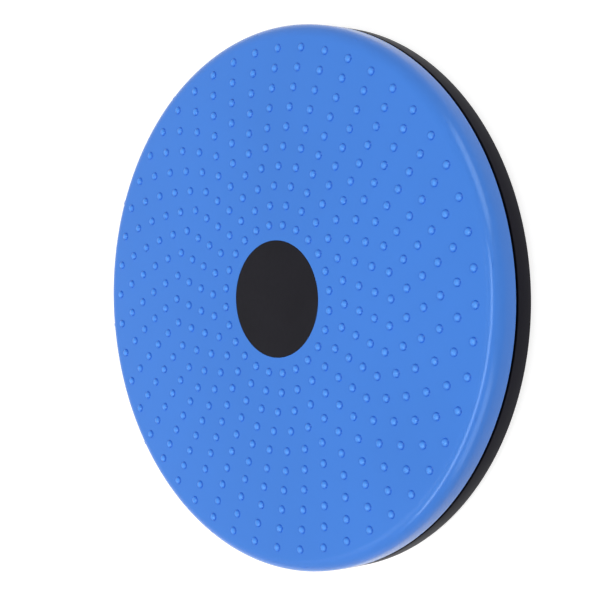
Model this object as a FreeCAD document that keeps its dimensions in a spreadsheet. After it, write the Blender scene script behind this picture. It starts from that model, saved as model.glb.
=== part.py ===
import FreeCAD, Part
import Sketcher
import os
import re
from FreeCAD import Placement, Rotation, Vector

# Driving dimensions, in millimetres unless the name says degrees or count
SIZES = {
    # The whole disc, from the floor up
    "disc_diameter": 281.0,
    "foot_drop": 3.0,
    "base_height": 9.8,
    "turn_gap": 1.9,
    "top_height": 15.3,
    # Top plate
    "top_wall": 3.5,
    "skirt_wall": 4.0,
    "skirt_lean": 0.7,
    "shoulder_radius": 7.0,
    "top_rib_depth": 4.0,
    # Nubs of the tread
    "nub_radius": 2.4,
    "nub_height": 1.2,
    "nub_root": 0.3,
    "first_ring_radius": 38.0,
    "ring_pitch": 10.0,
    # Centre cover
    "cover_diameter": 60.0,
    "cover_thickness": 1.0,
    "cover_clearance": 0.1,
    # Base plate
    "base_wall": 2.5,
    "base_skirt_wall": 2.5,
    "base_hub_radius": 10.0,
    "rib_count": 12,
    "rib_wall": 2.0,
    "rib_setback": 1.0,
    "rib_root": 0.5,
    "first_web_radius": 37.0,
    "web_pitch": 26.0,
    # Rubber feet
    "foot_count": 6,
    "foot_radius": 10.0,
    "foot_socket_depth": 2.0,
    "foot_boss_wall": 2.0,
    "foot_circle_radius": 122.0,
    "foot_clearance": 0.1,
    # Thrust bearing
    "race_width": 122.0,
    "race_corner_cut": 18.0,
    "race_bore_radius": 44.0,
    "race_thickness": 2.4,
    "ball_circle_radius": 54.0,
    "ball_radius": 3.0,
    "ball_count": 12,
    "ball_clearance": 0.1,
    "groove_half_width": 2.2,
    "groove_flank_degrees": 30,
    "cage_width": 10.0,
    "cage_thickness": 2.4,
    "pocket_clearance": 0.2,
    # Race screws
    "screw_count": 4,
    "screw_circle_radius": 70.0,
    "screw_length": 6.5,
    "screw_shank_radius": 1.45,
    "screw_head_radius": 2.6,
    "screw_head_height": 1.4,
    "screw_clearance": 0.15,
    "screw_boss_radius": 3.5,
    "screw_boss_floor": 1.2,
    "pilot_clearance": 0.05,
    "pilot_end": 0.4,
    # Pivot
    "bolt_diameter": 6.0,
    "bolt_length": 20.0,
    "bolt_hole_clearance": 0.2,
    "bolt_head_width": 10.0,
    "bolt_head_height": 4.0,
    "bolt_head_setback": 0.8,
    "hub_gap": 1.0,
    "hub_floor": 5.0,
    "well_radius": 10.0,
    "well_wall": 2.5,
    "bush_clearance": 0.05,
    "bush_wall": 2.0,
    "bush_flange_width": 2.5,
    "bush_flange_thickness": 1.0,
    "seat_clearance": 0.05,
    "end_play": 0.1,
    "washer_radius": 6.0,
    "washer_thickness": 1.6,
    "nut_width": 10.0,
    "nut_height": 6.0,
    "insert_wall": 1.3,
    "insert_height": 1.6,
    # How far a cut runs past the face that it opens
    "overrun": 1.0,
}

# Nubs in each ring of the tread, from the middle outwards
NUBS_PER_RING = [24, 26, 30, 34, 38, 40, 42, 44, 46, 48]
WEB_COUNT = 4
SHOULDER_STEPS = 3
SCREW_DEGREES = 45
BALL_CORNER_DEGREES = 22.5
LEVEL_TOLERANCE = 1e-6
WEB_SIDES = 12
CAGE_SIDES = 24
CAVITY_SIDES = 48
BORE_SIDES = 24
INSERT_SIDES = 12

# Sides of the small repeated pieces, few because there are many of them
NUB_SIDES = 4
FOOT_SIDES = 8
SCREW_SIDES = 6
BALL_SIDES = 6

# Heights of the two shells, worked out from the sizes
RIM_FOOT = "foot_drop"
BASE_TOP = "(foot_drop + base_height)"
BASE_ROOF = f"({BASE_TOP} - base_wall)"
RIB_FOOT = f"({RIM_FOOT} + rib_setback)"
FOOT_TOP = f"({RIM_FOOT} + foot_socket_depth)"
SKIRT_EDGE = f"({BASE_TOP} + turn_gap)"
TREAD = f"({SKIRT_EDGE} + top_height)"
TOP_ROOF = f"({TREAD} - top_wall)"
COVER_FLOOR = f"({TREAD} - cover_thickness)"

# Radii of the two shells
DISC_RADIUS = "(disc_diameter / 2)"
BASE_SKIRT_INNER = f"({DISC_RADIUS} - base_skirt_wall)"
SKIRT_INNER = f"({DISC_RADIUS} - skirt_wall)"
SHOULDER_CENTRE = f"({DISC_RADIUS} - skirt_lean - shoulder_radius)"
SHOULDER_LEVEL = f"({TREAD} - shoulder_radius)"
COVER_RADIUS = "(cover_diameter / 2)"
WELL_OUTER = "(well_radius + well_wall)"
RACE_REACH = "(race_width / 2)"

# Bearing: each ball rests on the two flanks of a shallow groove in each race
GROOVE_DEPTH = "(groove_half_width * tan(groove_flank_degrees))"
BALL_RISE = f"(race_thickness - {GROOVE_DEPTH} + ball_radius / cos(groove_flank_degrees) + ball_clearance)"
BALL_LEVEL = f"({BASE_TOP} + {BALL_RISE})"
UPPER_SEAT = f"({BALL_LEVEL} + {BALL_RISE})"
LOWER_FACE = f"({BASE_TOP} + race_thickness)"
UPPER_FACE = f"({UPPER_SEAT} - race_thickness)"

# Race screws, whose heads stand on the races, inside the cage
LOWER_TIP = f"({LOWER_FACE} - screw_length)"
UPPER_TIP = f"({UPPER_FACE} + screw_length)"
LOWER_PILOT_END = f"({LOWER_TIP} - pilot_end)"
UPPER_PILOT_END = f"({UPPER_TIP} + pilot_end)"

# Pivot, from the head of the bolt up to the nut
BOLT_RADIUS = "(bolt_diameter / 2)"
BOLT_HOLE = f"({BOLT_RADIUS} + bolt_hole_clearance)"
HEAD_FOOT = f"({RIB_FOOT} + bolt_head_setback)"
HEAD_TOP = f"({HEAD_FOOT} + bolt_head_height)"
BOLT_END = f"({HEAD_TOP} + bolt_length)"
HUB_FOOT = f"({BASE_TOP} + hub_gap)"
WELL_FLOOR = f"({HUB_FOOT} + hub_floor)"
BUSH_BORE = f"({BOLT_RADIUS} + bush_clearance)"
BUSH_OUTER = f"({BUSH_BORE} + bush_wall)"
HUB_BORE = f"({BUSH_OUTER} + seat_clearance)"
FLANGE_TOP = f"({WELL_FLOOR} + bush_flange_thickness)"
WASHER_FOOT = f"({FLANGE_TOP} + end_play)"
NUT_FOOT = f"({WASHER_FOOT} + washer_thickness)"
NUT_TOP = f"({NUT_FOOT} + nut_height)"
INSERT_FOOT = f"({NUT_TOP} - insert_height)"
THREAD_BORE = f"({BOLT_RADIUS} + seat_clearance)"
INSERT_OUTER = f"({THREAD_BORE} + insert_wall)"

doc = FreeCAD.newDocument("waist_twisting_disc")
sheet = doc.addObject("Spreadsheet::Sheet", "sizes")
for row, (alias, number) in enumerate(SIZES.items(), start=1):
    sheet.set(f"A{row}", alias)
    sheet.set(f"B{row}", str(number))
    sheet.setAlias(f"B{row}", alias)
doc.recompute()


def bound(expression):
    """The expression with each size written as a reference to the sheet."""
    return re.sub(r"[a-z_]+", lambda word: f"sizes.{word[0]}" if word[0] in SIZES else word[0], expression)


def value(expression):
    return float(sheet.evalExpression(bound(expression)))


def polygon(sides, corner_radius, centre_radius="0", centre_degrees=0, turn_degrees=0):
    """Corners of a regular polygon whose centre lies at a radius and an angle from the axis."""
    corners = []
    for k in range(sides):
        degrees = centre_degrees + turn_degrees + 360 * k / sides
        x = f"({centre_radius}) * cos({centre_degrees}) + ({corner_radius}) * cos({degrees})"
        y = f"({centre_radius}) * sin({centre_degrees}) + ({corner_radius}) * sin({degrees})"
        corners.append((x, y))
    return corners


def hexagon(width):
    """Corners of a hexagon about the axis, given its width across flats."""
    return polygon(6, f"({width}) / 2 / cos(30)")


def bar(inner, outer, width):
    """Corners of a straight bar that runs out along X."""
    near, far = f"-({width}) / 2", f"({width}) / 2"
    return [(inner, near), (outer, near), (outer, far), (inner, far)]


def clipped_square(width, cut):
    """Corners of a square about the axis, with its own corners cut off."""
    side, near = f"(({width}) / 2)", f"(({width}) / 2 - ({cut}))"
    return [(side, f"-{near}"), (side, near), (near, side), (f"-{near}", side),
            (f"-{side}", near), (f"-{side}", f"-{near}"), (f"-{near}", f"-{side}"), (near, f"-{side}")]


def web(corner_radius):
    """Outer and inner outline of a many-sided rib that runs round the axis."""
    inner = f"({corner_radius} - rib_wall / cos({180 / WEB_SIDES}))"
    return polygon(WEB_SIDES, corner_radius), polygon(WEB_SIDES, inner)


def new_body(name):
    body = doc.addObject("PartDesign::Body", name)
    body.Label = name
    body.AllowCompound = True
    return body


def origin_feature(body, role):
    return next(feature for feature in body.Origin.OriginFeatures if feature.Role == role)


def new_sketch(body, name, plane, level="0"):
    sketch = body.newObject("Sketcher::SketchObject", name)
    sketch.AttachmentSupport = (origin_feature(body, plane), [""])
    sketch.MapMode = "FlatFace"
    sketch.setExpression("AttachmentOffset.Base.z", bound(level))
    return sketch


def tie(sketch, kind, geometry, *point_and_size):
    """Add a dimension to a sketch and bind it to the sheet."""
    *point, size = point_and_size
    place = sketch.addConstraint(Sketcher.Constraint(kind, *point[:2], geometry, *point[2:], value(size)))
    sketch.setExpression(f"Constraints[{place}]", bound(size))


def tie_point(sketch, geometry, x, y):
    """Bind the first point of a line, or a point, to the sheet in both directions."""
    tie(sketch, "DistanceX", geometry, -1, 1, 1, x)
    tie(sketch, "DistanceY", geometry, -1, 1, 1, y)


def add_loop(sketch, corners):
    points = [Vector(value(x), value(y), 0) for x, y in corners]
    lines = []
    for start, end in zip(points, points[1:] + points[:1]):
        lines.append(sketch.addGeometry(Part.LineSegment(start, end), False))
    for line, following in zip(lines, lines[1:] + lines[:1]):
        sketch.addConstraint(Sketcher.Constraint("Coincident", line, 2, following, 1))
    for line, (x, y) in zip(lines, corners):
        tie_point(sketch, line, x, y)


def add_circle(sketch, radius):
    circle = sketch.addGeometry(Part.Circle(Vector(0, 0, 0), Vector(0, 0, 1), value(radius)), False)
    sketch.addConstraint(Sketcher.Constraint("Coincident", circle, 3, -1, 1))
    tie(sketch, "Radius", circle, radius)


def level_sketch(body, name, level, loops):
    """A level sketch whose loops are lists of corners, or radii of circles about the axis."""
    sketch = new_sketch(body, name, "XY_Plane", level)
    for loop in loops:
        if isinstance(loop, str):
            add_circle(sketch, loop)
        else:
            add_loop(sketch, loop)
    return sketch


def turned(body, name, corners):
    """Revolve a half section, given as radius and height, about the upright axis."""
    sketch = new_sketch(body, f"{name}_section", "XZ_Plane")
    add_loop(sketch, corners)
    feature = body.newObject("PartDesign::Revolution", name)
    feature.Profile = sketch
    feature.ReferenceAxis = (sketch, ["V_Axis"])
    feature.Angle = 360
    body.Tip = feature
    return feature


def raised(body, name, low, high, *loops):
    """Fill the loops from one level up to another."""
    feature = body.newObject("PartDesign::Pad", name)
    feature.Profile = level_sketch(body, f"{name}_outline", low, loops)
    feature.setExpression("Length", bound(f"{high} - {low}"))
    body.Tip = feature
    return feature


def sunk(body, name, low, high, *loops):
    """Cut the loops out of the body between two levels."""
    doc.recompute()
    before = body.Shape.Volume
    feature = body.newObject("PartDesign::Pocket", name)
    feature.Profile = level_sketch(body, f"{name}_outline", high, loops)
    feature.setExpression("Length", bound(f"{high} - {low}"))
    body.Tip = feature
    doc.recompute()
    if not feature.Shape.Volume < before:
        raise ValueError(f"{name} cuts nothing")
    return feature


def lofted(body, name, sections):
    """Join sections, each a level with a list of corners, by flat faces. The last may be a tip."""
    sketches = []
    for number, (level, corners) in enumerate(sections):
        sketch = new_sketch(body, f"{name}_section_{number}", "XY_Plane", level)
        if len(corners) == 1:
            x, y = corners[0]
            tip = sketch.addGeometry(Part.Point(Vector(value(x), value(y), 0)), False)
            tie_point(sketch, tip, x, y)
            sketches.append((sketch, ["Vertex1"]))
        else:
            add_loop(sketch, corners)
            sketches.append((sketch, [""]))
    feature = body.newObject("PartDesign::AdditiveLoft", name)
    feature.Profile = sketches[0]
    feature.Sections = sketches[1:]
    feature.Ruled = True
    body.Tip = feature
    return feature


def repeated(body, name, features, count):
    """Repeat features evenly about the upright axis."""
    pattern = body.newObject("PartDesign::PolarPattern", name)
    pattern.Originals = features
    pattern.Axis = (origin_feature(body, "Z_Axis"), [""])
    pattern.Angle = 360
    pattern.setExpression("Occurrences", bound(count))
    body.Tip = pattern
    return pattern


def screw_outline(radius):
    return polygon(SCREW_SIDES, radius, "screw_circle_radius", SCREW_DEGREES)


def base_plate():
    """Moulded base: a flat roof with a skirt, stiffened below by a web of ribs."""
    body = new_body("base_plate")
    raised(body, "disc", RIM_FOOT, BASE_TOP, DISC_RADIUS)
    sunk(body, "cavity", f"({RIM_FOOT} - overrun)", BASE_ROOF, polygon(CAVITY_SIDES, BASE_SKIRT_INNER))
    rib_top = f"({BASE_ROOF} + rib_root)"
    raised(body, "hub", RIB_FOOT, rib_top, polygon(WEB_SIDES, "base_hub_radius"))
    rib = raised(body, "rib", RIB_FOOT, rib_top,
                 bar("base_hub_radius - rib_root", f"{BASE_SKIRT_INNER} + rib_root", "rib_wall"))
    repeated(body, "ribs", [rib], "rib_count")
    for k in range(WEB_COUNT):
        raised(body, f"web_{k + 1}", RIB_FOOT, rib_top, *web(f"(first_web_radius + {k} * web_pitch)"))
    foot_boss = raised(body, "foot_boss", RIM_FOOT, rib_top,
                       polygon(FOOT_SIDES, "foot_radius + foot_boss_wall", "foot_circle_radius"))
    repeated(body, "foot_bosses", [foot_boss], "foot_count")
    socket = sunk(body, "foot_socket", f"({RIM_FOOT} - overrun)", FOOT_TOP,
                  polygon(FOOT_SIDES, "foot_radius + foot_clearance", "foot_circle_radius"))
    repeated(body, "foot_sockets", [socket], "foot_count")
    screw_boss = raised(body, "screw_boss", f"({LOWER_PILOT_END} - screw_boss_floor)", rib_top,
                        screw_outline("screw_boss_radius"))
    repeated(body, "screw_bosses", [screw_boss], "screw_count")
    pilot = sunk(body, "pilot", LOWER_PILOT_END, f"({BASE_TOP} + overrun)",
                 screw_outline("screw_shank_radius + pilot_clearance"))
    repeated(body, "pilots", [pilot], "screw_count")
    sunk(body, "head_pocket", f"({RIB_FOOT} - overrun)", HEAD_TOP,
         hexagon("bolt_head_width + 2 * bolt_hole_clearance"))
    sunk(body, "bolt_hole", RIB_FOOT, f"({BASE_TOP} + overrun)", BOLT_HOLE)
    return body


def foot(number):
    """Rubber foot pressed into its socket under the base."""
    degrees = 360 * (number - 1) / SIZES["foot_count"]
    body = new_body(f"foot_{number}")
    raised(body, "pad", "0", FOOT_TOP, polygon(FOOT_SIDES, "foot_radius"))
    body.Placement = Placement(Vector(0, 0, 0), Rotation(Vector(0, 0, 1), degrees))
    body.setExpression("Placement.Base.x", bound(f"foot_circle_radius * cos({degrees})"))
    body.setExpression("Placement.Base.y", bound(f"foot_circle_radius * sin({degrees})"))
    return body


def race(name, seat, face):
    """Square steel turntable plate with a round hole, a ball groove and a screw at each corner."""
    into = 1 if value(seat) > value(face) else -1
    low, high = sorted([seat, face], key=value)
    body = new_body(name)
    raised(body, "plate", low, high, clipped_square("race_width", "race_corner_cut"),
           polygon(BORE_SIDES, "race_bore_radius"))
    section = new_sketch(body, "groove_section", "XZ_Plane")
    add_loop(section, [
        ("ball_circle_radius", f"{face} + {into} * {GROOVE_DEPTH}"),
        ("ball_circle_radius + groove_half_width", face),
        ("ball_circle_radius + groove_half_width", f"{face} - {into} * overrun"),
        ("ball_circle_radius - groove_half_width", f"{face} - {into} * overrun"),
        ("ball_circle_radius - groove_half_width", face),
    ])
    groove = body.newObject("PartDesign::Groove", "groove")
    groove.Profile = section
    groove.ReferenceAxis = (section, ["V_Axis"])
    groove.Angle = 360
    body.Tip = groove
    hole = sunk(body, "screw_hole", f"({low} - overrun)", f"({high} + overrun)",
                screw_outline("screw_shank_radius + screw_clearance"))
    repeated(body, "screw_holes", [hole], "screw_count")
    return body


def race_screws(name, face, tip):
    """The screws of one race, as separate solids, each with its head on the race."""
    away = 1 if value(face) > value(tip) else -1
    crown = f"({face} + {away} * screw_head_height)"
    body = new_body(name)
    head = raised(body, "head", *sorted([face, crown], key=value), screw_outline("screw_head_radius"))
    shank = raised(body, "shank", *sorted([face, tip], key=value), screw_outline("screw_shank_radius"))
    repeated(body, "screws", [head, shank], "screw_count")
    return body


def ball_cage():
    """Flat nylon ring with a square window for each ball."""
    body = new_body("ball_cage")
    inner = "ball_circle_radius - cage_width / 2"
    outer = "ball_circle_radius + cage_width / 2"
    low = f"({BALL_LEVEL} - cage_thickness / 2)"
    high = f"({BALL_LEVEL} + cage_thickness / 2)"
    raised(body, "ring", low, high, polygon(CAGE_SIDES, outer), polygon(CAGE_SIDES, inner))
    window = sunk(body, "window", f"({low} - overrun)", f"({high} + overrun)",
                  polygon(4, "(ball_radius + pocket_clearance) / cos(45)", "ball_circle_radius", 0, 45))
    repeated(body, "windows", [window], "ball_count")
    return body


def bearing_balls():
    """The balls of the bearing, as separate few-sided solids that a true ball would enclose."""
    body = new_body("bearing_balls")
    reach = f"(ball_radius * cos({BALL_CORNER_DEGREES}))"
    low, high = f"({BALL_LEVEL} - {reach})", f"({BALL_LEVEL} + {reach})"
    barrel = raised(body, "barrel", low, high, polygon(BALL_SIDES, reach, "ball_circle_radius"))
    doc.recompute()
    ends = [f"Face{number}" for number, face in enumerate(barrel.Shape.Faces, start=1)
            if face.normalAt(0, 0).isEqual(Vector(0, 0, 1), LEVEL_TOLERANCE)
            or face.normalAt(0, 0).isEqual(Vector(0, 0, -1), LEVEL_TOLERANCE)]
    ball = body.newObject("PartDesign::Chamfer", "ball")
    ball.Base = (barrel, ends)
    ball.setExpression("Size", bound(f"{reach} - ball_radius * sin({BALL_CORNER_DEGREES})"))
    body.Tip = ball
    balls = repeated(body, "balls", [ball], "ball_count")
    balls.TransformMode = "Whole shape"
    return body


def pivot_bolt():
    """Hexagon bolt whose head lies in the pocket of the base's hub."""
    body = new_body("pivot_bolt")
    raised(body, "head", HEAD_FOOT, HEAD_TOP, hexagon("bolt_head_width"))
    raised(body, "shank", HEAD_TOP, BOLT_END, BOLT_RADIUS)
    return body


def pivot_washer():
    body = new_body("pivot_washer")
    raised(body, "ring", WASHER_FOOT, NUT_FOOT, polygon(BORE_SIDES, "washer_radius"), BOLT_HOLE)
    return body


def lock_nut():
    """Hexagon nut with a seat for its nylon insert."""
    body = new_body("lock_nut")
    raised(body, "hexagon", NUT_FOOT, NUT_TOP, hexagon("nut_width"), THREAD_BORE)
    sunk(body, "insert_seat", INSERT_FOOT, f"({NUT_TOP} + overrun)",
         polygon(INSERT_SIDES, f"{INSERT_OUTER} + seat_clearance"))
    return body


def lock_nut_insert():
    body = new_body("lock_nut_insert")
    raised(body, "ring", INSERT_FOOT, NUT_TOP, polygon(INSERT_SIDES, INSERT_OUTER), THREAD_BORE)
    return body


def pivot_bush():
    """Flanged bush, pressed into the hub of the top plate and running on the bolt."""
    body = new_body("pivot_bush")
    turned(body, "sleeve", [
        (BUSH_BORE, HUB_FOOT),
        (BUSH_OUTER, HUB_FOOT),
        (BUSH_OUTER, WELL_FLOOR),
        (f"{BUSH_OUTER} + bush_flange_width", WELL_FLOOR),
        (f"{BUSH_OUTER} + bush_flange_width", FLANGE_TOP),
        (BUSH_BORE, FLANGE_TOP),
    ])
    return body


def centre_cover():
    """Flat disc that closes the well of the nut, flush with the tread."""
    body = new_body("centre_cover")
    raised(body, "disc", COVER_FLOOR, TREAD, COVER_RADIUS)
    return body


def top_shell():
    """Moulded top plate before its nubs: tread, rounded shoulder, skirt, hub and ribs."""
    body = new_body("top_shell")
    shoulder = []
    for step in range(SHOULDER_STEPS + 1):
        degrees = 90 * step / SHOULDER_STEPS
        shoulder.append((f"{SHOULDER_CENTRE} + shoulder_radius * cos({degrees})",
                         f"{SHOULDER_LEVEL} + shoulder_radius * sin({degrees})"))
    turned(body, "disc", [
        ("0", SKIRT_EDGE),
        (DISC_RADIUS, SKIRT_EDGE),
        *shoulder,
        (f"{COVER_RADIUS} + cover_clearance", TREAD),
        (f"{COVER_RADIUS} + cover_clearance", COVER_FLOOR),
        ("0", COVER_FLOOR),
    ])
    sunk(body, "cavity", f"({SKIRT_EDGE} - overrun)", TOP_ROOF, polygon(CAVITY_SIDES, SKIRT_INNER))
    rib_top = f"({TOP_ROOF} + rib_root)"
    rib = raised(body, "rib", f"({TOP_ROOF} - top_rib_depth)", rib_top,
                 bar("well_radius", f"{SKIRT_INNER} + rib_root", "rib_wall"))
    repeated(body, "ribs", [rib], "rib_count")
    raised(body, "inner_race_seat", UPPER_SEAT, rib_top, *web("(race_bore_radius + 2 * rib_wall)"))
    raised(body, "outer_race_seat", UPPER_SEAT, rib_top, *web(RACE_REACH))
    screw_boss = raised(body, "screw_boss", UPPER_SEAT, rib_top, screw_outline("screw_boss_radius"))
    repeated(body, "screw_bosses", [screw_boss], "screw_count")
    pilot = sunk(body, "pilot", f"({UPPER_SEAT} - overrun)", UPPER_PILOT_END,
                 screw_outline("screw_shank_radius + pilot_clearance"))
    repeated(body, "pilots", [pilot], "screw_count")
    raised(body, "hub", HUB_FOOT, rib_top, polygon(WEB_SIDES, WELL_OUTER))
    sunk(body, "well", WELL_FLOOR, f"({COVER_FLOOR} + overrun)", polygon(WEB_SIDES, "well_radius"))
    sunk(body, "bush_bore", f"({HUB_FOOT} - overrun)", f"({WELL_FLOOR} + overrun)", HUB_BORE)
    return body


def nub_ring(number, count):
    """One ring of nubs, each rooted in the tread and tapering to a blunt tip."""
    body = new_body(f"nub_ring_{number}")
    centre = (f"first_ring_radius + {number - 1} * ring_pitch", "0")
    root_radius = "nub_radius * (nub_height + nub_root) / nub_height"
    nub = lofted(body, "nub", [
        (f"{TREAD} - nub_root", polygon(NUB_SIDES, root_radius, centre[0])),
        (f"{TREAD} + nub_height", [centre]),
    ])
    repeated(body, "nubs", [nub], str(count))
    return body


def top_plate():
    """The top shell and its several hundred nubs, joined in one operation as one moulding."""
    rings = [nub_ring(number, count) for number, count in enumerate(NUBS_PER_RING, start=1)]
    shell = top_shell()
    doc.recompute()
    nubs = [nub for ring in rings for nub in ring.Shape.Solids]
    plate = doc.addObject("Part::Feature", "top_plate")
    plate.Label = "top_plate"
    plate.Shape = shell.Shape.fuse(nubs)
    return plate


nodes = [
    base_plate(),
    *[foot(number) for number in range(1, SIZES["foot_count"] + 1)],
    race("lower_race", BASE_TOP, LOWER_FACE),
    race_screws("lower_race_screws", LOWER_FACE, LOWER_TIP),
    ball_cage(),
    bearing_balls(),
    race("upper_race", UPPER_SEAT, UPPER_FACE),
    race_screws("upper_race_screws", UPPER_FACE, UPPER_TIP),
    pivot_bolt(),
    pivot_washer(),
    lock_nut(),
    lock_nut_insert(),
    pivot_bush(),
    centre_cover(),
    top_plate(),
]
doc.recompute()

failed = [thing.Name for thing in doc.Objects if "Invalid" in thing.State or "Error" in thing.State]
if failed:
    raise ValueError(f"these features failed: {failed}")
for node in nodes:
    if node.Shape.isNull() or not node.Shape.isValid() or not node.Shape.Solids:
        raise ValueError(f"{node.Label} has no valid solid")

os.makedirs("parts", exist_ok=True)
for node in nodes:
    node.Shape.exportStep(f"parts/{node.Label}.step")
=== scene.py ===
from math import cos, pi, radians, sin

import bmesh
import bpy
from mathutils import Matrix, Quaternion, Vector


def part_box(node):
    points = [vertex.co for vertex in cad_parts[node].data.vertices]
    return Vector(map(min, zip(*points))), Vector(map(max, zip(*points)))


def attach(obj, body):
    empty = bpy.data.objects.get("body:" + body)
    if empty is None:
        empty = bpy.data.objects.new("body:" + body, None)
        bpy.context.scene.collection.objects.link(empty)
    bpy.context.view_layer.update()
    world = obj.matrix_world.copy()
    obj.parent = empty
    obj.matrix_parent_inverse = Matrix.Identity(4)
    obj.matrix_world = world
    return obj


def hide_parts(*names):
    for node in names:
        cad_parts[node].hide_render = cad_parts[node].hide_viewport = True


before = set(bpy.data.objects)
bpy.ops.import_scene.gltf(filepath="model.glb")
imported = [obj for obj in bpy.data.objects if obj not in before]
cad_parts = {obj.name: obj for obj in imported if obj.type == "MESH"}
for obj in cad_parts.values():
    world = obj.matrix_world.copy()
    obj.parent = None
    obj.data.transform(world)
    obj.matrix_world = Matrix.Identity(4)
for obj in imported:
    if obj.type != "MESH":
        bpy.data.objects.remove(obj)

bl_info = {
    "name": "Waist twisting disc",
    "version": (1, 0, 0),
    "blender": (4, 5, 0),
    "location": "View3D > Sidebar > Twisting disc",
    "description": "Dresses the packed twisting disc with its mouldings, nubs, feet and finishes",
    "category": "Object",
}

MM = 0.001
FULL_TURN = 2 * pi
UP = Vector((0, 0, 1))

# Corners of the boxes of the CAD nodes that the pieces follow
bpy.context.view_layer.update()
BASE_LOW, BASE_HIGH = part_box("base_plate")
TOP_LOW, TOP_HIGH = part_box("top_plate")
COVER_LOW, COVER_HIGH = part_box("centre_cover")
FOOT_LOW, FOOT_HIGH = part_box("foot_1")
CAGE_LOW, CAGE_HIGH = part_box("ball_cage")
BOLT_LOW, BOLT_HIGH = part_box("pivot_bolt")
RACE_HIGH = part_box("upper_race")[1]
LOWER_SCREWS_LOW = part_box("lower_race_screws")[0]
UPPER_SCREWS_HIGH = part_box("upper_race_screws")[1]

# Nubs in each ring of the tread, from the middle outwards
NUBS_PER_RING = [24, 26, 30, 34, 38, 40, 42, 44, 46, 48]
RIBS = 12
WEB_SIDES = 12
FEET = 6
SCREWS = 4
BALLS = 12
HEXAGON = 6

# How finely round shapes are stepped
TURN_STEPS = 256
FOOT_STEPS = 96
SMALL_TURN_STEPS = 48
BALL_STEPS = 32
NUB_STEPS = 10
CROWN_STEPS = 7
ARC_STEP = 0.6 * MM
LEAST_ARC_STEPS = 3
EDGE_STEPS = 2
MERGE_DISTANCE = 0.002 * MM

# Creases that are sharper than these stay sharp in the shading
SHARP_ANGLE = radians(35)
NUB_SHARP_ANGLE = radians(60)

# Roundings and places as shares of the sizes that they follow
INNER_EDGE_SHARE = 0.5
COVER_EDGE_SHARE = 0.25
GRIP_EDGE_SHARE = 0.25
GRIP_PLACE_SHARE = 0.45
DOME_SHARE = 0.98
TOP_RIB_EDGE_SHARE = 1 / 8
BASE_RIB_EDGE_SHARE = 1 / 6

# Name of the nub mesh's attribute that says how high a point stands on its nub; it sets the painted shade
# at the foot and the painted highlight at the tip
NUB_LIGHT_MASK = "nub_light_mask"


def length(name, description, default):
    return bpy.props.FloatProperty(name=name, description=description, default=default, unit="LENGTH",
                                   precision=5)


def angle(name, description, degrees):
    return bpy.props.FloatProperty(name=name, description=description, default=radians(degrees),
                                   subtype="ANGLE", unit="ROTATION")


def amount(name, description, default):
    return bpy.props.FloatProperty(name=name, description=description, default=default)


def colour(name, description, default):
    return bpy.props.FloatVectorProperty(name=name, description=description, default=default, size=3,
                                         subtype="COLOR", min=0, max=1)


class TreadSizes(bpy.types.PropertyGroup):
    """Sizes and colours of the blue top moulding, its nubs and the cover."""

    skirt_edge: length("Skirt edge", "Height of the skirt's lower edge above the floor", 14.7 * MM)
    skirt_lean: length("Skirt lean", "How far the skirt leans in up to the tread's level", 0.7 * MM)
    shoulder_radius: length("Shoulder radius", "Rounding between tread and skirt", 7.0 * MM)
    crown_drop: length("Crown drop", "Fall of the tread from its middle to the shoulder", 1.4 * MM)
    wall: length("Wall", "Thickness of the moulding", 3.5 * MM)
    edge_radius: length("Edge radius", "Rounding of the skirt's lower edge", 0.4 * MM)
    hub_edge: length("Hub edge", "Rounding of the hub's lower edge", 0.7 * MM)
    cover_gap: length("Cover gap", "Gap round the centre cover", 0.1 * MM)
    first_ring: length("First ring", "Radius of the innermost ring of nubs", 38.0 * MM)
    ring_pitch: length("Ring pitch", "Distance from one ring of nubs to the next", 10.0 * MM)
    nub_radius: length("Nub radius", "Radius of a nub where it meets the tread", 2.25 * MM)
    nub_height: length("Nub height", "Height of a nub over the tread", 1.3 * MM)
    nub_root: length("Nub root", "How deep a nub runs into the tread", 0.1 * MM)
    rib_wall: length("Rib wall", "Thickness of the ribs under the tread", 2.0 * MM)
    rib_depth: length("Rib depth", "Depth of the ribs under the tread", 4.0 * MM)
    well_radius: length("Well radius", "Radius of the well that holds the lock nut", 10.0 * MM)
    well_wall: length("Well wall", "Wall of the hub round the well", 2.5 * MM)
    well_floor: length("Well floor", "Height of the well's floor above the floor", 18.8 * MM)
    hub_bore: length("Hub bore", "Radius of the hub's bore, which the bush fills", 5.1 * MM)
    inner_seat: length("Inner seat", "Radius of the inner race seat at its corners", 48.0 * MM)
    tread_blue: colour("Tread blue", "Colour of the moulded top", (0.051, 0.206, 0.688))
    # Painted shade: a deeper blue painted round the feet of the nubs
    shaded_foot_blue: colour("Foot blue", "Deeper colour round the feet of the nubs", (0.006, 0.113, 0.600))
    # Painted highlight: a paler blue painted on the tips of the nubs
    highlit_tip_blue: colour("Highlit tip blue", "Painted highlight on the tips of the nubs", (0.078, 0.300, 0.870))
    cover_black: colour("Cover black", "Colour of the centre cover", (0.0108, 0.0102, 0.0140))
    gloss_tint: colour("Gloss tint", "Tint of what the blue plastic reflects", (0.72, 0.9, 1.0))


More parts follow.
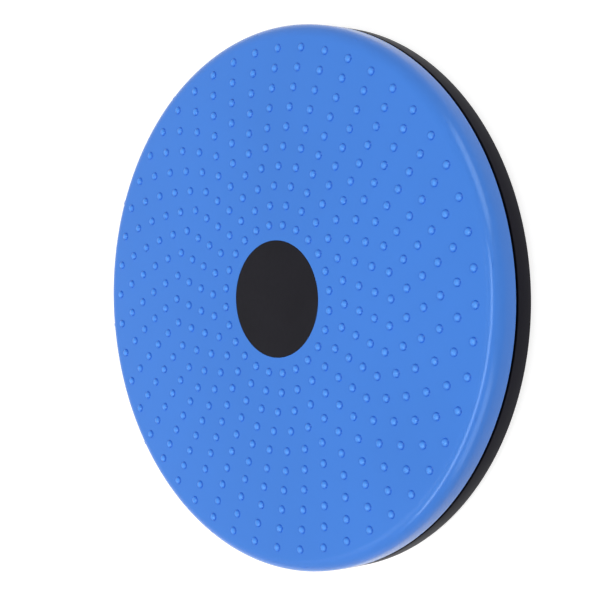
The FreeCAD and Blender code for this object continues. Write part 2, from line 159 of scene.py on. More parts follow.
class BaseSizes(bpy.types.PropertyGroup):
    """Sizes and colours of the black base moulding and its feet."""

    wall: length("Wall", "Thickness of the roof and the skirt", 2.5 * MM)
    edge_radius: length("Edge radius", "Rounding of the upper and lower edge", 0.7 * MM)
    groove_lip: length("Groove lip", "Width of the rim outside the shadow groove", 0.5 * MM)
    groove_width: length("Groove width", "Width of the shadow groove under the turning gap", 4.0 * MM)
    groove_depth: length("Groove depth", "Depth of the shadow groove under the turning gap", 1.4 * MM)
    rib_wall: length("Rib wall", "Thickness of the ribs", 2.0 * MM)
    hub_setback: length("Hub setback", "How far the hub stays above the skirt's lower edge", 1.0 * MM)
    rib_root: length("Rib root", "How deep a rib of either moulding runs into what carries it", 0.5 * MM)
    first_web: length("First web", "Radius of the innermost ring rib at its corners", 37.0 * MM)
    web_pitch: length("Web pitch", "Distance from one ring rib to the next", 26.0 * MM)
    webs: bpy.props.IntProperty(name="Webs", description="Number of ring ribs", default=4)
    hub_radius: length("Hub radius", "Radius of the hub round the bolt", 10.0 * MM)
    boss_wall: length("Boss wall", "Wall round a foot's socket", 2.0 * MM)
    socket_depth: length("Socket depth", "How deep the feet are let in and the ribs stay clear", 2.0 * MM)
    foot_gap: length("Foot gap", "Gap round a foot in its socket", 0.1 * MM)
    foot_edge: length("Foot edge", "Rounding of a foot's lower edge", 1.0 * MM)
    foot_groove: length("Foot groove", "Depth of the grip groove in a foot", 0.6 * MM)
    screw_boss_floor: length("Screw boss floor", "Plastic under the tip of a race screw", 1.6 * MM)
    base_black: colour("Base black", "Colour of the moulded base", (0.0125, 0.0120, 0.0175))
    rubber_black: colour("Rubber black", "Colour of the feet", (0.018, 0.018, 0.018))


class BearingSizes(bpy.types.PropertyGroup):
    """Sizes and colours of the bearing and the fasteners."""

    ball_circle: length("Ball circle", "Radius of the circle that the balls run on", 54.0 * MM)
    ball_radius: length("Ball radius", "Radius of a ball", 3.0 * MM)
    head_height: length("Head height", "Height of the pivot bolt's head", 4.0 * MM)
    head_width: length("Head width", "Width of the pivot bolt's head across its flats", 10.0 * MM)
    head_edge: length("Head edge", "Rounding of the rim of the pivot bolt's head", 0.4 * MM)
    bolt_gap: length("Bolt gap", "Gap round the pivot bolt's head and shank", 0.2 * MM)
    shank_radius: length("Shank radius", "Radius of the pivot bolt's shank", 3.0 * MM)
    shank_chamfer: length("Shank chamfer", "Chamfer at the end of the shank", 0.6 * MM)
    screw_circle: length("Screw circle", "Radius of the circle of the race screws", 70.0 * MM)
    screw_bore: length("Screw bore", "Radius of the bore round a race screw", 1.55 * MM)
    screw_boss_radius: length("Screw boss radius", "Radius of a boss that takes a race screw", 3.5 * MM)
    steel: colour("Steel", "Colour of the plated steel", (0.56, 0.57, 0.59))
    ball_steel: colour("Ball steel", "Colour of the polished balls", (0.72, 0.72, 0.74))
    nylon: colour("Nylon", "Colour of the cage and the bush", (0.74, 0.72, 0.66))
    insert_blue: colour("Insert blue", "Colour of the lock nut's insert", (0.04, 0.12, 0.42))


class StageSizes(bpy.types.PropertyGroup):
    """Camera, floor and light."""

    azimuth: angle("Azimuth", "Where the camera stands, from +X", -64.85)
    elevation: angle("Elevation", "Height of the camera over the horizon", 45.47)
    roll: angle("Roll", "Turn of the camera about its own view", 91.79)
    distance: length("Distance", "From the camera to the point that it aims at", 0.7518)
    aim: bpy.props.FloatVectorProperty(name="Aim", description="Point that the camera aims at",
                                       default=(0.0055, -0.0212, 0.030), subtype="XYZ", unit="LENGTH")
    lens: amount("Lens", "Focal length in millimetres", 88.1)
    sensor: amount("Sensor", "Sensor width in millimetres", 36.0)
    clip_start: length("Clip start", "Nearest distance that the camera shows", 0.01)
    clip_end: length("Clip end", "Farthest distance that the camera shows", 100.0)
    floor_reach: length("Floor reach", "Half the width of the floor", 6.0)
    floor_grey: amount("Floor grey", "Share of the light that the floor scatters", 0.5)
    floor_glow: amount("Floor glow", "Glow that makes the lit floor white to the camera", 0.75)
    lamp_distance: length("Lamp distance", "From the disc to the ends of each lamp", 2.0)
    world_strength: amount("World strength", "Plain light all round", 0.57)


def sizes(group):
    """The values of one group, as the scene holds them."""
    return getattr(bpy.context.scene, group)


# Shapes

def turned(corners, steps=TURN_STEPS):
    """Spin a half section, given by each corner's radius, height and rounding, about the axis."""
    shape = bmesh.new()
    verts = [shape.verts.new((radius, 0, height)) for radius, height, rounding in corners]
    for start, end in zip(verts, verts[1:] + verts[:1]):
        shape.edges.new((start, end))
    for vert, (radius, height, rounding) in zip(verts, corners):
        if rounding:
            bmesh.ops.bevel(shape, geom=[vert], offset=rounding, offset_type="OFFSET",
                            segments=max(LEAST_ARC_STEPS, round(rounding / ARC_STEP)), profile=0.5,
                            affect="VERTICES", material=-1, clamp_overlap=False)
    bmesh.ops.spin(shape, geom=shape.verts[:] + shape.edges[:], cent=(0, 0, 0), axis=UP, angle=FULL_TURN,
                   steps=steps, use_merge=True)
    return clean(shape)


def clean(shape):
    """Close the seam and the poles, and point the faces outwards."""
    bmesh.ops.remove_doubles(shape, verts=shape.verts[:], dist=MERGE_DISTANCE)
    bmesh.ops.recalc_face_normals(shape, faces=shape.faces[:])
    return shape


def raise_faces(shape, rise):
    """Thicken a flat sheet upwards into a solid."""
    raised = bmesh.ops.extrude_face_region(shape, geom=shape.faces[:], use_keep_orig=True)
    top = [part for part in raised["geom"] if isinstance(part, bmesh.types.BMVert)]
    bmesh.ops.translate(shape, vec=UP * rise, verts=top)


def soften(shape, rim, rounding):
    """Round the edges of a rim."""
    bmesh.ops.bevel(shape, geom=rim, offset=rounding, offset_type="OFFSET", segments=EDGE_STEPS,
                    profile=0.5, affect="EDGES", material=-1)


def seat(shape, level):
    """Turn a circle's first corner to +X and lift it to a level."""
    bmesh.ops.rotate(shape, cent=(0, 0, 0), matrix=Matrix.Rotation(-pi / 2, 3, UP), verts=shape.verts[:])
    bmesh.ops.translate(shape, vec=UP * level, verts=shape.verts[:])


def prism(sides, radius, low, high, rounding):
    """Upright prism about the axis, its lower rim rounded."""
    shape = bmesh.new()
    bmesh.ops.create_circle(shape, cap_ends=True, segments=sides, radius=radius)
    seat(shape, low)
    rim = shape.edges[:]
    raise_faces(shape, high - low)
    soften(shape, rim, rounding)
    return clean(shape)


def block(low, high, rounding):
    """Box between two corners, its lower edges rounded."""
    shape = bmesh.new()
    bmesh.ops.create_cube(shape, size=1)
    low, high = Vector(low), Vector(high)
    bmesh.ops.scale(shape, vec=high - low, verts=shape.verts[:])
    bmesh.ops.translate(shape, vec=(low + high) / 2, verts=shape.verts[:])
    middle = (low.z + high.z) / 2
    rim = [edge for edge in shape.edges if all(vert.co.z < middle for vert in edge.verts)]
    soften(shape, rim, rounding)
    return clean(shape)


def web(corner_radius, wall, low, high, rounding):
    """Many-sided rib that runs round the axis, its lower edges rounded."""
    inner_radius = corner_radius - wall / cos(pi / WEB_SIDES)
    shape = bmesh.new()
    for radius in (corner_radius, inner_radius):
        bmesh.ops.create_circle(shape, cap_ends=False, segments=WEB_SIDES, radius=radius)
    seat(shape, low)
    rim = shape.edges[:]
    bmesh.ops.bridge_loops(shape, edges=rim)
    raise_faces(shape, high - low)
    soften(shape, rim, rounding)
    return clean(shape)


def hexagon_hub(pocket_radius, hub_radius, low, floor):
    """Round hub with a hexagon pocket that holds the head of the bolt."""
    shape = bmesh.new()
    bmesh.ops.create_circle(shape, cap_ends=False, segments=SMALL_TURN_STEPS, radius=hub_radius)
    outer = shape.edges[:]
    bmesh.ops.create_circle(shape, cap_ends=False, segments=HEXAGON, radius=pocket_radius)
    inner = [edge for edge in shape.edges if edge not in outer]
    bmesh.ops.triangle_fill(shape, use_beauty=True, edges=outer + inner, normal=UP)
    seat(shape, low)
    raise_faces(shape, floor - low)
    return clean(shape)


def hexagon_corner(across_flats):
    """Radius of a hexagon's corners, from its width across the flats."""
    return across_flats / 2 / cos(pi / HEXAGON)


def stamp(whole, part, places=(Matrix.Identity(4),)):
    """Add a part to a whole at each place, and free the part."""
    carrier = bpy.data.meshes.new("carrier")
    for place in places:
        part.to_mesh(carrier)
        carrier.transform(place)
        whole.from_mesh(carrier)
    bpy.data.meshes.remove(carrier)
    part.free()


def round_the_axis(count, radius=0.0, first=0.0, tilt=0.0, height=0.0):
    """Places spread evenly round the upright axis, each tilted outwards and lifted alike."""
    arm = Matrix.Translation((radius, 0, height)) @ Matrix.Rotation(tilt, 4, "Y")
    return [Matrix.Rotation(first + FULL_TURN * k / count, 4, "Z") @ arm for k in range(count)]


def finished(shape, name, material, body, nodes=(), sharp=SHARP_ANGLE):
    """Make a bmesh a piece that rides on a body and stands in for CAD nodes."""
    mesh = bpy.data.meshes.new(name)
    shape.to_mesh(mesh)
    shape.free()
    mesh.shade_smooth()
    mesh.set_sharp_from_angle(angle=sharp)
    mesh.materials.append(material)
    piece = bpy.data.objects.new(name, mesh)
    bpy.context.scene.collection.objects.link(piece)
    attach(piece, body)
    if nodes:
        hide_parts(*nodes)


def dress(node, material):
    """Give its finish to a CAD node that stays in the picture."""
    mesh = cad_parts[node].data
    mesh.materials.clear()
    mesh.materials.append(material)


# Finishes

def plain_finish(name, base_colour, roughness, metallic=0.0, specular=0.5, ior=1.5, tint=(1, 1, 1)):
    """A new material and its shader, ready for patterns, or the one made before and no shader."""
    material = bpy.data.materials.get(name)
    if material:
        return material, None
    material = bpy.data.materials.new(name)
    material.use_nodes = True
    shader = material.node_tree.nodes["Principled BSDF"]
    shader.inputs["Base Color"].default_value = (*base_colour, 1)
    shader.inputs["Roughness"].default_value = roughness
    shader.inputs["Metallic"].default_value = metallic
    shader.inputs["Specular IOR Level"].default_value = specular
    shader.inputs["IOR"].default_value = ior
    shader.inputs["Specular Tint"].default_value = (*tint, 1)
    return material, shader


def gloss_plastic(name, roughness):
    """The blue plastic: it mirrors lamps, but little of the pale room where it turns away from the eye."""
    tread = sizes("disc_tread")
    return plain_finish(name, tread.tread_blue, roughness, specular=0.85, ior=1.25, tint=tread.gloss_tint)


def noise(shader, scale, detail, stretch=(1, 1, 1)):
    """Noise on the piece's own coordinates."""
    tree = shader.id_data
    place = tree.nodes.new("ShaderNodeTexCoord")
    mapping = tree.nodes.new("ShaderNodeMapping")
    mapping.inputs["Scale"].default_value = stretch
    texture = tree.nodes.new("ShaderNodeTexNoise")
    texture.inputs["Scale"].default_value = scale
    texture.inputs["Detail"].default_value = detail
    tree.links.new(place.outputs["Object"], mapping.inputs["Vector"])
    tree.links.new(mapping.outputs["Vector"], texture.inputs["Vector"])
    return texture.outputs["Fac"]


def vary_colour(shader, pattern, dark, light, spread=0.3):
    """Let the colour drift between two tones over the middle stretch of a pattern."""
    tree = shader.id_data
    ramp = tree.nodes.new("ShaderNodeValToRGB")
    ramp.color_ramp.elements[0].position = 0.5 - spread / 2
    ramp.color_ramp.elements[1].position = 0.5 + spread / 2
    ramp.color_ramp.elements[0].color = (*dark, 1)
    ramp.color_ramp.elements[1].color = (*light, 1)
    tree.links.new(pattern, ramp.inputs["Fac"])
    tree.links.new(ramp.outputs["Color"], shader.inputs["Base Color"])


def vary_roughness(shader, pattern, low, high):
    """Let the roughness drift between two values."""
    tree = shader.id_data
    drift = tree.nodes.new("ShaderNodeMapRange")
    drift.inputs["To Min"].default_value = low
    drift.inputs["To Max"].default_value = high
    tree.links.new(pattern, drift.inputs["Value"])
    tree.links.new(drift.outputs["Result"], shader.inputs["Roughness"])


def raise_grain(shader, pattern, strength, depth):
    """Raise a fine grain on the surface."""
    tree = shader.id_data
    bump = tree.nodes.new("ShaderNodeBump")
    bump.inputs["Strength"].default_value = strength
    bump.inputs["Distance"].default_value = depth
    tree.links.new(pattern, bump.inputs["Height"])
    tree.links.new(bump.outputs["Normal"], shader.inputs["Normal"])


def shade(base_colour, factor):
    """A darker or paler tone of a colour."""
    return tuple(min(1.0, channel * factor) for channel in base_colour)


def blue_gloss():
    """Injection moulded gloss plastic: faint flow clouds and a very slight waviness."""
    blue = sizes("disc_tread").tread_blue
    material, shader = gloss_plastic("blue gloss plastic", roughness=0.2)
    if shader:
        vary_colour(shader, noise(shader, scale=9, detail=3), shade(blue, 0.97), shade(blue, 1.03))
        vary_roughness(shader, noise(shader, scale=70, detail=5), low=0.17, high=0.24)
        raise_grain(shader, noise(shader, scale=260, detail=2), strength=0.12, depth=0.02 * MM)
    return material


def nubs_painted_light():
    """The same plastic with painted shade, a deeper blue at the feet of the nubs, and a painted highlight,
    a paler blue on their tips.
    """
    tread = sizes("disc_tread")
    material, shader = gloss_plastic("blue plastic, nubs with painted shade and highlight", roughness=0.3)
    if shader:
        # Painted light: the height share on each nub blends painted shade at the foot into a painted
        # highlight at the tip
        nub_light_mask = shader.id_data.nodes.new("ShaderNodeAttribute")
        nub_light_mask.attribute_name = NUB_LIGHT_MASK
        vary_colour(shader, nub_light_mask.outputs["Fac"], tread.shaded_foot_blue, tread.highlit_tip_blue, spread=0.6)
        vary_roughness(shader, noise(shader, scale=90, detail=5), low=0.24, high=0.36)
    return material


def cover_matt():
    """Matt black sheet with a fine leathery grain."""
    black = sizes("disc_tread").cover_black
    material, shader = plain_finish("matt cover", black, roughness=0.62, specular=0.1)
    if shader:
        vary_colour(shader, noise(shader, scale=30, detail=5), shade(black, 0.9), shade(black, 1.12))
        vary_roughness(shader, noise(shader, scale=400, detail=4), low=0.55, high=0.72)
        raise_grain(shader, noise(shader, scale=1500, detail=3), strength=0.35, depth=0.05 * MM)
    return material


def base_satin():
    """Charcoal moulded plastic with a spark-eroded grain."""
    black = sizes("disc_base").base_black
    material, shader = plain_finish("charcoal satin plastic", black, roughness=0.42, specular=0.2, ior=1.2)
    if shader:
        vary_colour(shader, noise(shader, scale=14, detail=4), shade(black, 0.92), shade(black, 1.1))
        vary_roughness(shader, noise(shader, scale=160, detail=5), low=0.36, high=0.5)
        raise_grain(shader, noise(shader, scale=2200, detail=2), strength=0.25, depth=0.03 * MM)
    return material


def foot_rubber():
    """Soft black rubber, slightly dusty."""
    black = sizes("disc_base").rubber_black
    material, shader = plain_finish("foot rubber", black, roughness=0.85, specular=0.2)
    if shader:
        vary_colour(shader, noise(shader, scale=120, detail=8), shade(black, 0.85), shade(black, 1.5))
        vary_roughness(shader, noise(shader, scale=300, detail=4), low=0.75, high=0.95)
        raise_grain(shader, noise(shader, scale=1800, detail=4), strength=0.5, depth=0.05 * MM)
    return material


def plated_steel():
    """Zinc plated steel with cloudy crystals and fine drawing marks."""
    steel = sizes("disc_bearing").steel
    material, shader = plain_finish("plated steel", steel, roughness=0.34, metallic=1.0)
    if shader:
        streaks = noise(shader, scale=500, detail=5, stretch=(1, 14, 14))
        scratches = noise(shader, scale=900, detail=3, stretch=(1, 12, 12))
        vary_colour(shader, noise(shader, scale=220, detail=6), shade(steel, 0.86), shade(steel, 1.05))
        vary_roughness(shader, streaks, low=0.26, high=0.46)
        raise_grain(shader, scratches, strength=0.15, depth=0.02 * MM)
    return material


def polished_steel():
    """Polished bearing steel with a trace of grease."""
    steel = sizes("disc_bearing").ball_steel
    material, shader = plain_finish("polished steel", steel, roughness=0.09, metallic=1.0)
    if shader:
        vary_colour(shader, noise(shader, scale=180, detail=4), shade(steel, 0.93), steel)
        vary_roughness(shader, noise(shader, scale=260, detail=5), low=0.05, high=0.16)
    return material


def natural_nylon():
    """Milky nylon with faint flow marks."""
    nylon = sizes("disc_bearing").nylon
    material, shader = plain_finish("natural nylon", nylon, roughness=0.4)
    if shader:
        shader.inputs["Subsurface Weight"].default_value = 0.15
        shader.inputs["Subsurface Scale"].default_value = 1.0 * MM
        vary_colour(shader, noise(shader, scale=60, detail=5), shade(nylon, 0.93), shade(nylon, 1.03))
        vary_roughness(shader, noise(shader, scale=300, detail=4), low=0.34, high=0.5)
        raise_grain(shader, noise(shader, scale=900, detail=3), strength=0.15, depth=0.02 * MM)
    return material


def insert_nylon():
    """Dyed nylon of the lock nut's ring."""
    blue = sizes("disc_bearing").insert_blue
    material, shader = plain_finish("insert nylon", blue, roughness=0.45)
    if shader:
        vary_colour(shader, noise(shader, scale=150, detail=5), shade(blue, 0.9), shade(blue, 1.1))
        vary_roughness(shader, noise(shader, scale=600, detail=4), low=0.38, high=0.55)
    return material


# Pieces

def crown_height(radius, tread):
    """Height of the crowned tread at a radius: it falls with the square of the radius."""
    shoulder_start = TOP_HIGH.x - tread.skirt_lean - tread.shoulder_radius
    return COVER_HIGH.z - tread.crown_drop * (radius / shoulder_start) ** 2


class DISC_OT_top_moulding(bpy.types.Operator):
    """Make the blue top plate: crowned tread, rounded shoulder, skirt, hub and ribs"""
    bl_idname = "disc.top_moulding"
    bl_label = "Top moulding"
    bl_options = {"REGISTER", "UNDO"}

    def execute(self, context):
        tread, base, bearing = sizes("disc_tread"), sizes("disc_base"), sizes("disc_bearing")
        rim, wall = TOP_HIGH.x, tread.wall
        inner = rim - wall
        shoulder = rim - tread.skirt_lean
        recess = COVER_HIGH.x + tread.cover_gap
        roof = COVER_HIGH.z - wall
        root = roof + base.rib_root
        edge = tread.rib_wall * TOP_RIB_EDGE_SHARE
        crown_reach = shoulder - tread.shoulder_radius - recess
        crown = [recess + crown_reach * k / CROWN_STEPS for k in range(CROWN_STEPS)]
        shape = turned([
            (tread.well_radius, roof, 0),
            (inner, roof, tread.shoulder_radius - wall),
            (inner, tread.skirt_edge, tread.edge_radius * INNER_EDGE_SHARE),
            (rim, tread.skirt_edge, tread.edge_radius),
            (shoulder, crown_height(shoulder, tread), tread.shoulder_radius),
            *[(radius, crown_height(radius, tread), 0) for radius in reversed(crown)],
            (recess, COVER_LOW.z, 0),
            (tread.well_radius, COVER_LOW.z, 0),
        ])
        well_outer = tread.well_radius + tread.well_wall
        hub = turned([
            (tread.hub_bore, TOP_LOW.z, 0),
            (well_outer, TOP_LOW.z, tread.hub_edge),
            (well_outer, root, 0),
            (tread.well_radius, COVER_LOW.z, 0),
            (tread.well_radius, tread.well_floor, 0),
            (tread.hub_bore, tread.well_floor, 0),
        ], SMALL_TURN_STEPS)
        stamp(shape, hub)
        rib = block((tread.well_radius, -tread.rib_wall / 2, roof - tread.rib_depth),
                    (inner + base.rib_root, tread.rib_wall / 2, root), edge)
        stamp(shape, rib, round_the_axis(RIBS))
        for seat_corner in (tread.inner_seat, RACE_HIGH.x):
            stamp(shape, web(seat_corner, tread.rib_wall, RACE_HIGH.z, root, edge))
        screw_boss = turned([
            (bearing.screw_bore, RACE_HIGH.z, 0),
            (bearing.screw_boss_radius, RACE_HIGH.z, edge),
            (bearing.screw_boss_radius, root, 0),
            (0, root, 0),
            (0, UPPER_SCREWS_HIGH.z, 0),
            (bearing.screw_bore, UPPER_SCREWS_HIGH.z, 0),
        ], SMALL_TURN_STEPS)
        stamp(shape, screw_boss, round_the_axis(SCREWS, bearing.screw_circle, pi / SCREWS))
        finished(shape, "top_moulding", blue_gloss(), "top", ["top_plate"])
        return {"FINISHED"}


class DISC_OT_tread_nubs(bpy.types.Operator):
    """Make the rings of massage nubs"""
    bl_idname = "disc.tread_nubs"
    bl_label = "Tread nubs"
    bl_options = {"REGISTER", "UNDO"}

    def execute(self, context):
        tread = sizes("disc_tread")
        radius, height, root = tread.nub_radius, tread.nub_height, tread.nub_root
        # The corner that is as far from the foot as from the tip, so that one arc rounds it to both
        shoulder = (radius ** 2 + height ** 2) / (2 * radius)
        foot_slope = (radius - shoulder) / height
        shape = bmesh.new()
        for ring, count in enumerate(NUBS_PER_RING):
            ring_radius = tread.first_ring + ring * tread.ring_pitch
            ground = crown_height(ring_radius, tread)
            slope = 2 * (COVER_HIGH.z - ground) / ring_radius
            nub = turned([
                (0, -root, 0),
                (radius + root * foot_slope, -root, 0),
                (shoulder, height, DOME_SHARE * shoulder),
                (0, height, 0),
            ], NUB_STEPS)
            # Mask for the painted light: nought at a nub's foot, where shade is painted, and one at its
            # tip, where a highlight is painted
            nub_light_mask = nub.verts.layers.float.new(NUB_LIGHT_MASK)
            for vert in nub.verts:
                vert[nub_light_mask] = max(0.0, vert.co.z / height)
            stamp(shape, nub, round_the_axis(count, ring_radius, tilt=slope, height=ground))
        finished(shape, "tread_nubs", nubs_painted_light(), "top", sharp=NUB_SHARP_ANGLE)
        return {"FINISHED"}


class DISC_OT_centre_cover(bpy.types.Operator):
    """Make the flat black disc in the middle of the tread"""
    bl_idname = "disc.centre_cover"
    bl_label = "Centre cover"
    bl_options = {"REGISTER", "UNDO"}

    def execute(self, context):
        thickness = COVER_HIGH.z - COVER_LOW.z
        shape = turned([
            (0, COVER_LOW.z, 0),
            (COVER_HIGH.x, COVER_LOW.z, 0),
            (COVER_HIGH.x, COVER_HIGH.z, thickness * COVER_EDGE_SHARE),
            (0, COVER_HIGH.z, 0),
        ])
        finished(shape, "centre_disc", cover_matt(), "top", ["centre_cover"])
        return {"FINISHED"}


class DISC_OT_base_moulding(bpy.types.Operator):
    """Make the black base: skirt, roof, hub, ribs, foot bosses and screw bosses"""
    bl_idname = "disc.base_moulding"
    bl_label = "Base moulding"
    bl_options = {"REGISTER", "UNDO"}

    def execute(self, context):
        base, bearing = sizes("disc_base"), sizes("disc_bearing")
        rim, inner = BASE_HIGH.x, BASE_HIGH.x - base.wall
        roof = BASE_HIGH.z - base.wall
        root = roof + base.rib_root
        socket_floor = BASE_LOW.z + base.socket_depth
        edge = base.rib_wall * BASE_RIB_EDGE_SHARE
        groove_outer = rim - base.groove_lip
        groove_inner = groove_outer - base.groove_width
        groove_floor = BASE_HIGH.z - base.groove_depth
        bolt_hole = bearing.shank_radius + bearing.bolt_gap
        shape = turned([
            (bolt_hole, roof, 0),
            (inner, roof, base.edge_radius),
            (inner, BASE_LOW.z, base.edge_radius * INNER_EDGE_SHARE),
            (rim, BASE_LOW.z, base.edge_radius),
            (rim, BASE_HIGH.z, base.groove_lip / 2),
            (groove_outer, BASE_HIGH.z, 0),
            (groove_outer, groove_floor, 0),
            (groove_inner, groove_floor, 0),
            (groove_inner, BASE_HIGH.z, 0),
            (bolt_hole, BASE_HIGH.z, 0),
        ])

        rib = block((base.hub_radius - base.rib_root, -base.rib_wall / 2, socket_floor),
                    (inner + base.rib_root, base.rib_wall / 2, root), edge)
        stamp(shape, rib, round_the_axis(RIBS))
        for k in range(base.webs):
            corner = base.first_web + k * base.web_pitch
            stamp(shape, web(corner, base.rib_wall, socket_floor + base.rib_root, root, edge))

        socket = (FOOT_HIGH.x - FOOT_LOW.x) / 2 + base.foot_gap
        collar = turned([
            (0, socket_floor, 0),
            (socket, socket_floor, 0),
            (socket, BASE_LOW.z, edge),
            (socket + base.boss_wall, BASE_LOW.z, edge),
            (socket + base.boss_wall, root, 0),
            (0, root, 0),
        ], FOOT_STEPS)
        stamp(shape, collar, round_the_axis(FEET, (FOOT_LOW.x + FOOT_HIGH.x) / 2))

        pocket = hexagon_corner(bearing.head_width + 2 * bearing.bolt_gap)
        hub = hexagon_hub(pocket, base.hub_radius, BASE_LOW.z + base.hub_setback,
                          BOLT_LOW.z + bearing.head_height)
        stamp(shape, hub)

        boss_foot = LOWER_SCREWS_LOW.z - base.screw_boss_floor
        screw_boss = turned([
            (0, boss_foot, 0),
            (bearing.screw_boss_radius, boss_foot, edge),
            (bearing.screw_boss_radius, root, 0),
            (0, root, 0),
        ], SMALL_TURN_STEPS)
        stamp(shape, screw_boss, round_the_axis(SCREWS, bearing.screw_circle, pi / SCREWS))
        finished(shape, "base_moulding", base_satin(), "base", ["base_plate"])
        return {"FINISHED"}


class DISC_OT_feet(bpy.types.Operator):
    """Make the round rubber feet"""
    bl_idname = "disc.feet"
    bl_label = "Rubber feet"
    bl_options = {"REGISTER", "UNDO"}

    def execute(self, context):
        base = sizes("disc_base")
        radius = (FOOT_HIGH.x - FOOT_LOW.x) / 2
        circle = (FOOT_LOW.x + FOOT_HIGH.x) / 2
        groove = base.foot_groove
        groove_start = radius * GRIP_PLACE_SHARE
        groove_edge = groove * GRIP_EDGE_SHARE
        for number, place in enumerate(round_the_axis(FEET, circle), start=1):
            pad = turned([
                (0, FOOT_LOW.z, 0),
                (groove_start, FOOT_LOW.z, groove_edge),
                (groove_start + groove, FOOT_LOW.z + groove, groove_edge),
                (groove_start + 2 * groove, FOOT_LOW.z, groove_edge),
                (radius, FOOT_LOW.z, base.foot_edge),
                (radius, FOOT_HIGH.z, 0),
                (0, FOOT_HIGH.z, 0),
            ], FOOT_STEPS)
            shape = bmesh.new()
            stamp(shape, pad, [place])
            finished(shape, f"rubber_foot_{number}", foot_rubber(), "base",
                     [f"foot_{number}"])
        return {"FINISHED"}


class DISC_OT_bearing(bpy.types.Operator):
    """Make the smooth balls and finish the races and the cage"""
    bl_idname = "disc.bearing"
    bl_label = "Ball bearing"
    bl_options = {"REGISTER", "UNDO"}

    def execute(self, context):
        bearing = sizes("disc_bearing")
        ball = bmesh.new()
        bmesh.ops.create_uvsphere(ball, u_segments=BALL_STEPS, v_segments=BALL_STEPS // 2,
                                  radius=bearing.ball_radius)
        level = (CAGE_LOW.z + CAGE_HIGH.z) / 2
        shape = bmesh.new()
        stamp(shape, ball, round_the_axis(BALLS, bearing.ball_circle, height=level))
        finished(shape, "steel_balls", polished_steel(), "cage", ["bearing_balls"])
        dress("ball_cage", natural_nylon())
        for node in ("lower_race", "upper_race"):
            dress(node, plated_steel())
        return {"FINISHED"}


class DISC_OT_pivot(bpy.types.Operator):
    """Make the pivot bolt with its hexagon head, and finish the other fasteners, the bush and the insert"""
    bl_idname = "disc.pivot"
    bl_label = "Pivot and fasteners"
    bl_options = {"REGISTER", "UNDO"}

    def execute(self, context):
        bearing = sizes("disc_bearing")
        head_top = BOLT_LOW.z + bearing.head_height
        corner = hexagon_corner(bearing.head_width)
        shape = bmesh.new()
        stamp(shape, prism(HEXAGON, corner, BOLT_LOW.z, head_top, bearing.head_edge))
        shank = turned([
            (0, head_top, 0),
            (bearing.shank_radius, head_top, 0),
            (bearing.shank_radius, BOLT_HIGH.z - bearing.shank_chamfer, 0),
            (bearing.shank_radius - bearing.shank_chamfer, BOLT_HIGH.z, 0),
            (0, BOLT_HIGH.z, 0),
        ], SMALL_TURN_STEPS)
        stamp(shape, shank)
        finished(shape, "hexagon_bolt", plated_steel(), "base", ["pivot_bolt"])
        for node in ("lower_race_screws", "upper_race_screws", "pivot_washer", "lock_nut"):
            dress(node, plated_steel())
        dress("pivot_bush", natural_nylon())
        dress("lock_nut_insert", insert_nylon())
        return {"FINISHED"}


# Stage

def seen_directly(tree):
    """One for camera, glossy and transmission rays, nought for the rays that light things."""
    path = tree.nodes.new("ShaderNodeLightPath")
    total = path.outputs["Is Camera Ray"]
    for kind in ("Is Glossy Ray", "Is Transmission Ray"):
        larger = tree.nodes.new("ShaderNodeMath")
        larger.operation = "MAXIMUM"
        tree.links.new(total, larger.inputs[0])
        tree.links.new(path.outputs[kind], larger.inputs[1])
        total = larger.outputs[0]
    return total


def floor_finish(grey, glow):
    """Pale floor that the camera sees as white, with the shadow of the disc kept."""
    material, shader = plain_finish("pale floor", [grey] * 3, roughness=0.9, specular=0.0)
    if shader:
        tree = shader.id_data
        lift = tree.nodes.new("ShaderNodeMath")
        lift.operation = "MULTIPLY"
        lift.inputs[1].default_value = glow
        white = tree.nodes.new("ShaderNodeEmission")
        total = tree.nodes.new("ShaderNodeAddShader")
        tree.links.new(seen_directly(tree), lift.inputs[0])
        tree.links.new(lift.outputs[0], white.inputs["Strength"])
        tree.links.new(shader.outputs["BSDF"], total.inputs[0])
        tree.links.new(white.outputs["Emission"], total.inputs[1])
        tree.links.new(total.outputs["Shader"], tree.nodes["Material Output"].inputs["Surface"])
    return material


def studio_world(strength):
    """Plain light all round, which the camera sees as white."""
    world = bpy.data.worlds.new("studio")
    world.use_nodes = True
    tree = world.node_tree
    light = tree.nodes["Background"]
    light.inputs["Color"].default_value = (1, 1, 1, 1)
    light.inputs["Strength"].default_value = strength
    white = tree.nodes.new("ShaderNodeBackground")
    white.inputs["Color"].default_value = (1, 1, 1, 1)
    white.inputs["Strength"].default_value = 1.0
    choice = tree.nodes.new("ShaderNodeMixShader")
    tree.links.new(seen_directly(tree), choice.inputs["Fac"])
    tree.links.new(light.outputs["Background"], choice.inputs[1])
    tree.links.new(white.outputs["Background"], choice.inputs[2])
    tree.links.new(choice.outputs["Shader"], tree.nodes["World Output"].inputs["Surface"])
    return world


def stage_floor(reach, material):
    """Flat square floor under the disc."""
    shape = bmesh.new()
    bmesh.ops.create_grid(shape, x_segments=1, y_segments=1, size=reach)
    mesh = bpy.data.meshes.new("floor")
    shape.to_mesh(mesh)
    shape.free()
    mesh.materials.append(material)
    floor = bpy.data.objects.new("floor", mesh)
    bpy.context.scene.collection.objects.link(floor)


def direction(azimuth, elevation):
    """Unit vector towards an azimuth and an elevation."""
    return Vector((cos(elevation) * cos(azimuth), cos(elevation) * sin(azimuth), sin(elevation)))


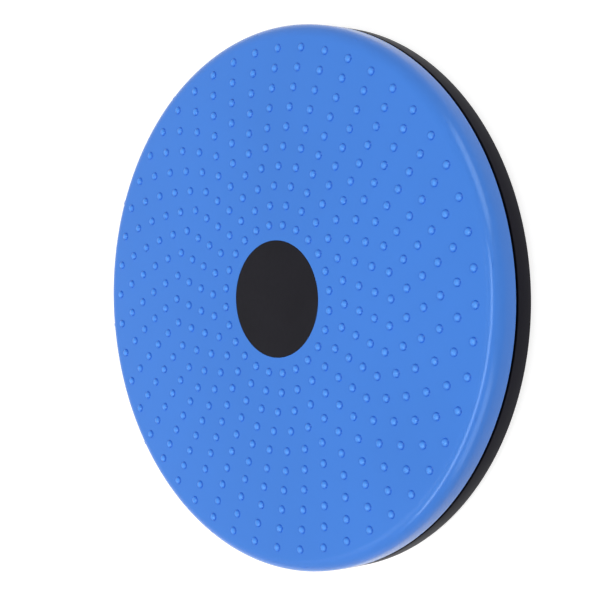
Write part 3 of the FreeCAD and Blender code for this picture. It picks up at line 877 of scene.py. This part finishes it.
def soft_lamp(name, start, end, width, radiance, lights=True, shows=True):
    """Area lamp that reaches from one azimuth and elevation to another, in degrees, and faces the disc.

    It can be kept from lighting matt surfaces, or from showing in the gloss.
    """
    distance = sizes("disc_stage").lamp_distance
    near, far = [direction(*map(radians, place)) * distance for place in (start, end)]
    away = (near + far).normalized()
    along = (far - near).normalized()
    across = away.cross(along)
    lamp = bpy.data.lights.new(name, "AREA")
    lamp.shape = "RECTANGLE"
    lamp.size, lamp.size_y = (far - near).length, width
    lamp.energy = radiance * pi * lamp.size * lamp.size_y
    holder = bpy.data.objects.new(name, lamp)
    turn = Matrix((along, across, away)).transposed().to_4x4()
    holder.matrix_world = Matrix.Translation((near + far) / 2) @ turn
    holder.visible_camera = False
    holder.visible_diffuse = lights
    holder.visible_glossy = shows
    bpy.context.scene.collection.objects.link(holder)


def stage_camera(stage):
    """Camera that aims at a point of the disc and is turned about its own view."""
    back = direction(stage.azimuth, stage.elevation)
    camera = bpy.data.cameras.new("camera")
    camera.lens, camera.sensor_width = stage.lens, stage.sensor
    camera.clip_start, camera.clip_end = stage.clip_start, stage.clip_end
    holder = bpy.data.objects.new("camera", camera)
    holder.location = Vector(stage.aim) + back * stage.distance
    holder.rotation_mode = "QUATERNION"
    holder.rotation_quaternion = back.to_track_quat("Z", "Y") @ Quaternion(UP, -stage.roll)
    bpy.context.scene.collection.objects.link(holder)
    return holder


class DISC_OT_stage(bpy.types.Operator):
    """Make the floor, the world, the lamps and the camera"""
    bl_idname = "disc.stage"
    bl_label = "Stage"
    bl_options = {"REGISTER", "UNDO"}

    def execute(self, context):
        stage = sizes("disc_stage")
        scene = context.scene
        scene.view_settings.view_transform = "Standard"
        stage_floor(stage.floor_reach, floor_finish(stage.floor_grey, stage.floor_glow))
        scene.world = studio_world(stage.world_strength)

        # These light the disc
        soft_lamp("key_lamp", start=(165, 38), end=(165, 62), width=0.8, radiance=7.3, shows=False)
        soft_lamp("overhead_lamp", start=(115, 76), end=(-65, 84), width=0.8, radiance=2.6, shows=False)
        soft_lamp("front_lamp", start=(-110, 12), end=(0, 12), width=0.6, radiance=1.2, shows=False)
        # These only show as the pale lines and patches in the gloss of the shoulder
        soft_lamp("strip_lamp", start=(-157, 34.5), end=(-46, 56.5), width=0.32, radiance=9.0, lights=False)
        soft_lamp("left_lamp", start=(-129, 16), end=(-92, 16), width=1.0, radiance=3.2, lights=False)
        soft_lamp("right_lamp", start=(-42, 25), end=(-5, 25), width=1.0, radiance=4.4, lights=False)

        scene.camera = stage_camera(stage)
        return {"FINISHED"}


class DISC_PT_panel(bpy.types.Panel):
    """Sizes, colours and operators of the twisting disc"""
    bl_idname = "DISC_PT_panel"
    bl_label = "Twisting disc"
    bl_space_type = "VIEW_3D"
    bl_region_type = "UI"
    bl_category = "Twisting disc"

    def draw(self, context):
        for group in GROUPS:
            box = self.layout.box()
            values = getattr(context.scene, group)
            for name in values.bl_rna.properties.keys():
                if name not in ("rna_type", "name"):
                    box.prop(values, name)
        for operator in OPERATORS:
            self.layout.operator(operator.bl_idname)


GROUPS = {
    "disc_tread": TreadSizes,
    "disc_base": BaseSizes,
    "disc_bearing": BearingSizes,
    "disc_stage": StageSizes,
}
OPERATORS = [
    DISC_OT_top_moulding,
    DISC_OT_tread_nubs,
    DISC_OT_centre_cover,
    DISC_OT_base_moulding,
    DISC_OT_feet,
    DISC_OT_bearing,
    DISC_OT_pivot,
    DISC_OT_stage,
]


def register():
    for group, kind in GROUPS.items():
        bpy.utils.register_class(kind)
        setattr(bpy.types.Scene, group, bpy.props.PointerProperty(type=kind))
    for kind in (*OPERATORS, DISC_PT_panel):
        bpy.utils.register_class(kind)


def unregister():
    for kind in (DISC_PT_panel, *reversed(OPERATORS)):
        bpy.utils.unregister_class(kind)
    for group, kind in reversed(GROUPS.items()):
        delattr(bpy.types.Scene, group)
        bpy.utils.unregister_class(kind)


def main():
    """Make every piece and the stage."""
    register()
    bpy.ops.disc.top_moulding()
    bpy.ops.disc.tread_nubs()
    bpy.ops.disc.centre_cover()
    bpy.ops.disc.base_moulding()
    bpy.ops.disc.feet()
    bpy.ops.disc.bearing()
    bpy.ops.disc.pivot()
    bpy.ops.disc.stage()


if __name__ == "__main__":
    main()
